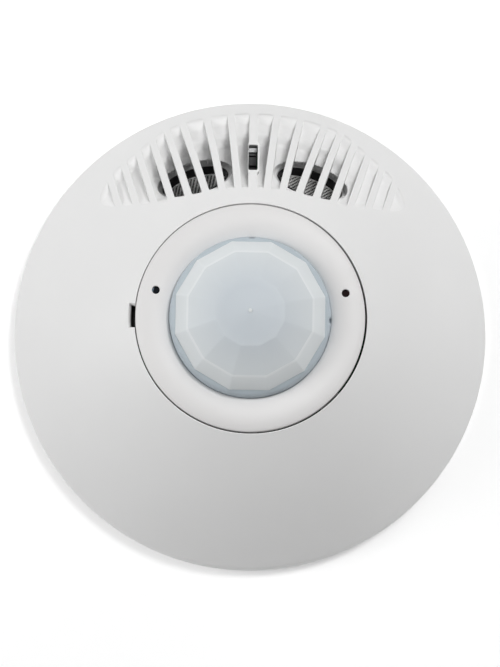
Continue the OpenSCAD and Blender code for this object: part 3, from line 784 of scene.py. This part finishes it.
# ---------------------------------------------------------------- pocket floor and transducers
def make_floor():
    """The white floor behind the fins, with a rounded lip round each transducer and a shaft
    under the window."""
    shell = Shell()
    outline = pocket_outline(0.5, 0.5)
    can_gap, lip, thick = 0.12, 0.5, 1.5
    lips, data = [], []
    turn = around(SPOKES)
    for side in (-1, 1):
        m, axis, across, along = transducer_axes(side)
        spokes = np.outer(np.cos(turn), across) + np.outer(np.sin(turn), along)
        data.append((m, axis, spokes))
        lips.append((m + spokes * (CAN_R + can_gap + lip))[:, :2])
    shaft_half_w, shaft_half_l = 1.25, WINDOW_L / 2 + 0.15
    shaft = resample([(s * shaft_half_w, WINDOW_Y + t * shaft_half_l) for s, t in CORNERS], 0.4)
    holes = lips + [shaft]
    step = 0.6
    grid = np.array([(x, y) for y in np.arange(26, 53, step) for x in np.arange(-37, 37.1, step)])
    grid[:, 0] += (np.round(grid[:, 1] / step) % 2) * step / 2
    for m, _, spokes in data:
        near = [(m + spokes * (CAN_R + t))[:, :2] for t in (0.8, 1.0, 1.2, 1.4, 1.7)]
        grid = np.vstack([grid] + near)
    points, tris = fill(outline, holes, grid)
    z = floor_z(points)
    top = shell.add(lift(points, z), floor_normal(points))
    bottom = shell.add(lift(points, z - thick))
    shell.triangles(top, tris)
    shell.triangles(bottom, tris)
    n = len(outline)
    shell.strip(top[:n], bottom[:n])
    start = n
    for m, axis, spokes in data:
        ring_top, ring_bottom = top[start:start + SPOKES], bottom[start:start + SPOKES]
        start += SPOKES
        chain = [ring_top]
        for a in EDGE_ANGLES:
            r = CAN_R + can_gap + lip * (1 - math.sin(a))
            chain.append(shell.add(m + spokes * r - axis * 0.4 * (1 - math.cos(a))))
        chain.append(shell.add(m + spokes * (CAN_R + can_gap) - axis * thick))
        shell.strips(chain + [ring_bottom])
    n = len(shaft)
    shell.strip(top[start:start + n], bottom[start:start + n])
    shell.build("pocket_floor", "sensor", MATERIALS["baffle_white"], "baffle_white", ["acoustic_baffle"])


def make_boot(side):
    """Rubber boot: a lip round the mouth, a wider collar behind it and a sleeve over the can."""
    name = "left" if side < 0 else "right"
    m, axis, across, along = transducer_axes(side)
    shell = Shell()
    profile = [(MOUTH_LIP_R, 0.03), (8.02, 0.03), (8.02, -1.3), (9.0, -1.3), (9.0, -6.9),
               (8.0, -6.9), (8.0, -2.1), (MOUTH_LIP_R, -2.1)]
    revolve(shell, round_corners(profile, 0.2), around(SPOKES), m, (across, along, axis), closed=True)
    shell.build("boot_" + name, "sensor", MATERIALS["boot_rubber"], "boot_rubber",
                ["transducer_boot_" + name])


def tube(shell, path, radius, sides):
    """A thin closed tube along a path of points."""
    path = np.asarray(path)
    t = np.gradient(path, axis=0)
    t /= np.linalg.norm(t, axis=1)[:, None]
    ref = np.array([0, 0, 1.0]) if abs(t[0][2]) < 0.9 else np.array([1.0, 0, 0])
    u = np.cross(t, ref)
    u /= np.linalg.norm(u, axis=1)[:, None]
    v = np.cross(t, u)
    rings = []
    for k in range(len(path)):
        a = np.arange(sides) * TAU / sides
        rings.append(shell.add(path[k] + radius * (np.outer(np.cos(a), u[k]) + np.outer(np.sin(a), v[k]))))
    shell.strips(rings)
    shell.faces += [tuple(rings[0]), tuple(reversed(rings[-1]))]


def make_mesh(side):
    """Woven wire over the can, thick one way and thin the other, inside a thin bright ring."""
    name = "left" if side < 0 else "right"
    m, axis, across, along = transducer_axes(side)
    centre = m - axis * 2.05
    turn = math.radians(-14 if side < 0 else -18)
    u = math.cos(turn) * across + math.sin(turn) * along
    v = np.cross(axis, u)
    shell = Shell()
    pitch, reach = 0.85, 7.35
    count = int(reach / pitch)
    for first, second, phase, radius in ((u, v, 0, 0.05), (v, u, 1, 0.2)):
        for i in range(-count, count + 1):
            half = math.sqrt(reach ** 2 - (i * pitch) ** 2)
            steps = max(3, int(2 * half / (pitch / 2)) | 1)
            s = np.linspace(-half, half, steps)
            lift_by = 0.1 * np.cos(math.pi * s / pitch + math.pi * (i + phase))
            path = centre + np.outer(s, first) + i * pitch * second + np.outer(lift_by, axis)
            tube(shell, path, radius, 5)
    ring = [(reach + 0.18 * math.cos(a), 0.18 * math.sin(a)) for a in np.arange(8) * TAU / 8]
    revolve(shell, ring, around(SPOKES), centre, (across, along, axis), closed=True)
    shell.build("wire_mesh_" + name, "sensor", MATERIALS["mesh_wire"], "mesh_wire",
                ["transducer_mesh_" + name])


# ---------------------------------------------------------------- centre cover and lens
def cover_arc():
    """Radius and centre of the arc that the ring's face bulges along."""
    chord = math.hypot(COVER_R - LENS_R, COVER_EDGE_Z - COVER_LIP_Z)
    radius = ((chord / 2) ** 2 + COVER_BULGE ** 2) / (2 * COVER_BULGE)
    lean = math.atan((COVER_EDGE_Z - COVER_LIP_Z) / (COVER_R - LENS_R))
    cr = (COVER_R + LENS_R) / 2 + math.sin(lean) * (radius - COVER_BULGE)
    cz = (COVER_EDGE_Z + COVER_LIP_Z) / 2 - math.cos(lean) * (radius - COVER_BULGE)
    return radius, cr, cz


def cover_z(r):
    radius, cr, cz = cover_arc()
    return cz + np.sqrt(radius ** 2 - (r - cr) ** 2)


def cover_normal(xy):
    radius, cr, _ = cover_arc()
    r = np.hypot(*xy.T)
    out = (r - cr) / radius
    return np.column_stack([xy[:, 0] / r * out, xy[:, 1] / r * out, np.sqrt(1 - out ** 2)])


def box_piece(shell, centre, size, turn=0.0):
    """A small block with eased edges, added to a shell."""
    bm = bmesh.new()
    bmesh.ops.create_cube(bm, size=1.0)
    for v in bm.verts:
        v.co = Vector((v.co.x * size[0], v.co.y * size[1], v.co.z * size[2]))
    bmesh.ops.bevel(bm, geom=list(bm.edges), offset=min(size) * 0.12, segments=2, affect="EDGES", profile=0.5)
    c, s = math.cos(turn), math.sin(turn)
    index = shell.add([(centre[0] + v.co.x * c - v.co.y * s, centre[1] + v.co.x * s + v.co.y * c,
                        centre[2] + v.co.z) for v in bm.verts])
    shell.faces += [tuple(index[v.index] for v in f.verts) for f in bm.faces]
    bm.free()


def add_snaps_and_stakes(shell):
    """Four hooked snaps under the ring, and the six melted stakes that hold the retainer."""
    for k in range(4):
        a = math.radians(45 + 90 * k)
        out = np.array([math.cos(a), math.sin(a)])
        box_piece(shell, (*(25.6 * out), 26.6), (1.3, 6, 3.9), a)
        box_piece(shell, (*(26.25 * out), 25.8), (0.6, 5.4, 0.9), a)
    stake = [(0.01, 30.4), (0.7, 30.4), (0.7, 27.9), (1.2, 27.75), (1.1, 27.35), (0.7, 27.2),
             (0.01, 27.2)]
    for k in range(6):
        a = math.radians(30 + 60 * k)
        revolve(shell, stake, around(20), (23.3 * math.cos(a), 23.3 * math.sin(a), 0), closed=True)


def make_cover():
    """The ring round the lens, with two holes for the indicators."""
    shell = Shell()
    angles = columns()
    r_in, r_out = LENS_R + 1.0, COVER_R - 0.45
    hole_r, hole_lip, hole_sides = 0.9, 0.22, 32
    turn = around(hole_sides)
    places = [LED_R * np.array([math.cos(a), math.sin(a)]) for a in (LED_ANGLE, math.pi - LED_ANGLE)]
    holes = [p + circle(hole_r + hole_lip, turn) for p in places]
    extra = np.vstack([circle(r, angles[::2]) for r in np.arange(r_in + 0.8, r_out - 0.5, 0.8)]
                      + [p + circle(1.6, turn) for p in places])
    points, tris = fill(circle(r_out, angles), [circle(r_in, angles)] + holes, extra)
    top = shell.add(lift(points, cover_z(np.hypot(*points.T))), cover_normal(points))
    under_z = np.where(np.hypot(*points.T) < 22.4, 29.6, 30.2)
    bottom = shell.add(lift(points, under_z))
    shell.triangles(top, tris)
    shell.triangles(bottom, tris)
    n = len(angles)
    outer = [top[:n]]
    edge = 0.28
    for a in EDGE_ANGLES:
        r = COVER_R - edge * (1 - math.sin(a))
        z = cover_z(COVER_R - edge) - edge * (1 - math.cos(a))
        outer.append(shell.add(lift(circle(r, angles), z)))
    for r, z in ((COVER_R, 27.9), (COVER_R - 0.3, 27.6), (25.3, 27.6), (25.0, 27.9), (25.0, 30.0)):
        outer.append(shell.add(lift(circle(r, angles), z)))
    shell.strips(outer + [bottom[:n]])
    inner = [top[n:2 * n]]
    for r, drop in ((LENS_R + 0.34, 0), (LENS_R + 0.12, 0.07), (LENS_R + 0.02, 0.24), (LENS_R, 0.5)):
        inner.append(shell.add(lift(circle(r, angles), cover_z(r) - drop)))
    inner.append(shell.add(lift(circle(LENS_R, angles), 29.6)))
    shell.strips(inner + [bottom[n:2 * n]])
    start = 2 * n
    for p in places:
        chain = [top[start:start + hole_sides]]
        for a in EDGE_ANGLES:
            xy = p + circle(hole_r + hole_lip * (1 - math.sin(a)), turn)
            z = cover_z(np.hypot(*xy.T)) - hole_lip * (1 - math.cos(a))
            chain.append(shell.add(lift(xy, z)))
        chain.append(bottom[start:start + hole_sides])
        start += hole_sides
        shell.strips(chain)
    add_snaps_and_stakes(shell)
    shell.build("cover_ring", "cover", MATERIALS["cover_white"], "cover_white", ["centre_cover"])


def lens_ring(r, shift):
    """Corners of one ring of facets, on the lens's sphere moved inward by shift."""
    s = (LENS_SPHERE_R - shift) / LENS_SPHERE_R
    z = LENS_TIP - LENS_SPHERE_R + math.sqrt(LENS_SPHERE_R ** 2 - r * r) * s
    a = (np.arange(LENS_SIDES) + 0.5) * TAU / LENS_SIDES
    return lift(circle(r * s, a), z)


def polygon_radius(corner_r, angle):
    """Distance from the axis to the side of the lens's polygon at an angle."""
    half = math.pi / LENS_SIDES
    return corner_r * math.cos(half) / np.cos((angle + half) % (2 * half) - half)


def make_facets():
    """Milky faceted cap with eased edges. Its outer band is coloured paler as painted light, and the ridge
    inside it paler still as a painted highlight.
    """
    bm = bmesh.new()
    layers = []
    for shift in (0.0, 0.8):
        rings = [[bm.verts.new(p) for p in lens_ring(r, shift)] for r in LENS_RINGS]
        tip = bm.verts.new((0, 0, LENS_TIP - shift))
        layers.append((rings, tip))
        n = LENS_SIDES
        for a, b in zip(rings, rings[1:]):
            for i in range(n):
                f = [a[i], a[(i + 1) % n], b[(i + 1) % n], b[i]]
                bm.faces.new(f if shift == 0 else f[::-1])
        for i in range(n):
            f = [rings[-1][i], rings[-1][(i + 1) % n], tip]
            bm.faces.new(f if shift == 0 else f[::-1])
    a, b = layers[0][0][0], layers[1][0][0]
    for i in range(LENS_SIDES):
        j = (i + 1) % LENS_SIDES
        bm.faces.new([a[j], a[i], b[i], b[j]])
    outer = {v for ring in layers[0][0] for v in ring} | {layers[0][1]}
    edges = [e for e in bm.edges if all(v in outer for v in e.verts)]
    bmesh.ops.bevel(bm, geom=edges, offset=0.3, segments=3, affect="EDGES", profile=0.5)
    # Index 1 is the outer band in painted light, index 2 the ridge with a painted highlight.
    for face in bm.faces:
        x, y, _ = face.calc_center_median()
        beyond = math.hypot(x, y) - polygon_radius(LENS_RINGS[1], math.atan2(y, x))
        face.material_index = 2 if abs(beyond) < 0.3 else int(beyond > 0)
    bmesh.ops.recalc_face_normals(bm, faces=bm.faces)
    for v in bm.verts:
        v.co *= MM
    mesh = bpy.data.meshes.new("lens_facets")
    bm.to_mesh(mesh)
    bm.free()
    mesh.polygons.foreach_set("use_smooth", [True] * len(mesh.polygons))
    mesh.set_sharp_from_angle(angle=math.radians(14))
    for name in ("lens_milky", "lens_rim_painted_light", "lens_ridge_painted_highlight"):
        mesh.materials.append(MATERIALS[name])
    cap = add_object("lens_facets", mesh)
    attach(cap, "cover")
    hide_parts("lens")


def make_skirt():
    """The round skirt and flange below the facets, with a small recess at each key."""
    shell = Shell()
    cut = [(at + s * w) % TAU for at in KEY_ANGLES for s in (-1, 1) for w in (0.034, 0.038)]
    angles = columns(cut)
    in_key = np.zeros(len(angles), bool)
    for at in KEY_ANGLES:
        in_key |= np.abs((angles - at + math.pi) % TAU - math.pi) < 0.036
    flat = polygon_radius(LENS_RINGS[0], angles)
    brow_z = lens_ring(LENS_RINGS[0], 0)[0][2]
    brow = []
    falls = ((-0.012, 0.02), (0.0, 0.05), (0.3, 0.26), (0.6, 0.68), (0.85, 1.15), (1.0, 1.9))
    for share, drop in falls:
        r = flat + (SKIRT_R - flat) * share
        r[in_key] = np.minimum(r[in_key], SKIRT_R - KEY_DEPTH)
        brow.append(shell.add(lift(circle(r, angles), brow_z - drop)))
    flange = [(SKIRT_R - KEY_DEPTH * in_key, 29.62), (SKIRT_R + 0.12, 29.5), (21.5, 29.5), (21.6, 29.4),
              (21.6, 28.9), (21.5, 28.8), (SKIRT_R - 0.8, 28.8), (SKIRT_R - 0.8, 31.0)]
    for r, z in flange:
        brow.append(shell.add(lift(circle(r, angles), z)))
    brow.append(shell.add(lift(circle(flat * 0.95, angles), brow_z - 0.8)))
    shell.strips(brow + brow[:1])
    # The skirt takes the darker copy of the lens plastic, painted shade.
    shell.build("lens_skirt", "cover", MATERIALS["lens_brow_painted_shade"], "lens_milky")


def make_gate():
    """The small mark left by moulding, at the lens's tip, coloured paler as a painted highlight."""
    gate = Shell()
    profile = [(0.45, -0.12), (0.45, 0.06), (0.36, 0.11), (0.15, 0.09)]
    rings = revolve(gate, profile, around(24), (0, 0, LENS_TIP - 0.14))
    gate.cap(rings[-1], (0, 0, LENS_TIP - 0.1))
    gate.cap(rings[0], (0, 0, LENS_TIP - 0.26))
    gate.build("lens_gate", "cover", MATERIALS["lens_ridge_painted_highlight"], "lens_milky")


# ---------------------------------------------------------------- small parts on the boards
def free_spots(board, body_nodes, pitch, margin):
    """Grid places on a board's upper face that no other part stands over."""
    low, high = size_of(board)
    top = high[2]
    taken = [size_of(n) for n in body_nodes if n != board]
    taken = [(a, b) for a, b in taken if a[2] < top + 1.2 and b[2] > top + 0.1 and b[0] - a[0] < 80]
    reach = min(high[:2] - low[:2]) / 2 - 2.5
    spots = []
    for y in np.arange(low[1] + 2, high[1] - 1, pitch):
        for x in np.arange(low[0] + 2, high[0] - 1, pitch):
            clear = all(x < a[0] - margin or x > b[0] + margin or y < a[1] - margin or y > b[1] + margin
                        for a, b in taken)
            if clear and math.hypot(x, y) < reach:
                spots.append((x, y, top))
    return spots


def make_board_parts():
    """Chip resistors and capacitors with tinned ends, on the sensor board."""
    sensor_nodes = frame["record"]["behaviour"]["bodies"]["sensor"]
    ends, middles = Shell(), Shell()
    for i, (x, y, top) in enumerate(free_spots("sensor_board", sensor_nodes, 3.1, 1.1)):
        turn = math.pi / 2 * (i * 7 % 3 == 0)
        along = np.array([math.cos(turn), math.sin(turn)])
        box_piece(middles, (x, y, top + 0.26), (1.0, 0.82, 0.5), turn)
        for s in (-1, 1):
            ex, ey = np.array([x, y]) + s * 0.66 * along
            box_piece(ends, (ex, ey, top + 0.27), (0.36, 0.9, 0.54), turn)
    middles.build("chip_part_bodies", "sensor", MATERIALS["chip_black"], "chip_black", smooth=False)
    ends.build("chip_part_ends", "sensor", MATERIALS["steel"], "steel", smooth=False)


# ---------------------------------------------------------------- CAD nodes that stay
def dress_nodes():
    """Gives each CAD node its slot's material and eases its edges."""
    slots = {s["node"]: s["material_slot"] for s in frame["record"]["subparts"]}
    for name, obj in frame["nodes"].items():
        if obj.hide_render:
            continue
        obj.data.materials.clear()
        obj.data.materials.append(MATERIALS[slots[name]])
        low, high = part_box(name)
        ease = obj.modifiers.new("ease", "BEVEL")
        ease.width = min(0.00025, 0.06 * min(high - low))
        ease.segments = 2
        ease.limit_method = "ANGLE"
        ease.angle_limit = math.radians(40)
        ease.harden_normals = False


# ---------------------------------------------------------------- floor, lights and camera
def make_floor_sheet():
    """A plain pale sheet that the sensor lies on, glowing a little so that it reads as white."""
    mesh = bpy.data.meshes.new("studio_floor")
    reach = 3.0
    mesh.from_pydata([(s * reach, t * reach, 0) for s, t in CORNERS], [], [(0, 1, 2, 3)])
    m, nodes, links, shader = node_material("studio_floor")
    set_inputs(shader, {"Base Color": (0.93, 0.93, 0.93, 1), "Roughness": 0.9,
                        "Emission Color": (1, 1, 1, 1), "Emission Strength": 0.24})
    mesh.materials.append(m)
    add_object("studio_floor", mesh)


def area_light(name, place, size, power, target=(0, 0, 0.02)):
    data = bpy.data.lights.new(name, "AREA")
    data.shape = "DISK"
    data.size = size
    data.energy = power
    obj = add_object(name, data)
    obj.location = place
    obj.rotation_mode = "QUATERNION"
    obj.rotation_quaternion = (Vector(target) - Vector(place)).to_track_quat("-Z", "Y")


def make_lights():
    """A crisp key from the upper right, low and high soft light from the left, gentle fills.
    Each light has a compass angle, a height angle, a size and a power."""
    lights = {"key": (48, 62, 0.32, 3.8), "left_low": (-90, 25, 0.5, 3.0), "left_high": (-92, 50, 0.5, 1.5),
              "overhead": (0, 80, 0.5, 0.8), "right_low": (90, 25, 0.5, 0.6),
              "right_high": (100, 65, 0.5, 0.7), "far_side": (30, 32, 0.5, 1.1)}
    for name, (compass, height, size, power) in lights.items():
        turn, rise = math.radians(compass), math.radians(height)
        place = (math.sin(turn) * math.cos(rise), math.cos(turn) * math.cos(rise), math.sin(rise))
        area_light(name, place, size, power)
    world = bpy.data.worlds.new("studio")
    world.use_nodes = True
    set_inputs(world.node_tree.nodes["Background"], {"Color": (1, 1, 1, 1), "Strength": 0.075})
    bpy.context.scene.world = world
    bpy.context.scene.view_settings.view_transform = "Standard"


def make_camera():
    """Almost square on to the lens, tipped a little towards the side away from the grille."""
    tilt, roll = math.radians(8), math.radians(1)
    distance, lens, sensor = 0.6, 133.7, 36.0
    target = Vector((0, 0, 0.004))
    back = Vector((0, -math.sin(tilt), math.cos(tilt)))
    data = bpy.data.cameras.new("camera")
    data.lens, data.sensor_width = lens, sensor
    camera = add_object("camera", data)
    up = Vector((-math.sin(roll), math.cos(roll), 0))
    right = up.cross(back).normalized()
    up = back.cross(right)
    camera.location = target + back * distance
    camera.rotation_mode = "QUATERNION"
    camera.rotation_quaternion = Matrix((right, up, back)).transposed().to_quaternion()
    bpy.context.scene.camera = camera


make_camera()
make_lights()
make_floor_sheet()
make_dome()
make_floor()
for side in (-1, 1):
    make_boot(side)
    make_mesh(side)
make_cover()
make_facets()
make_skirt()
make_gate()
make_board_parts()
dress_nodes()
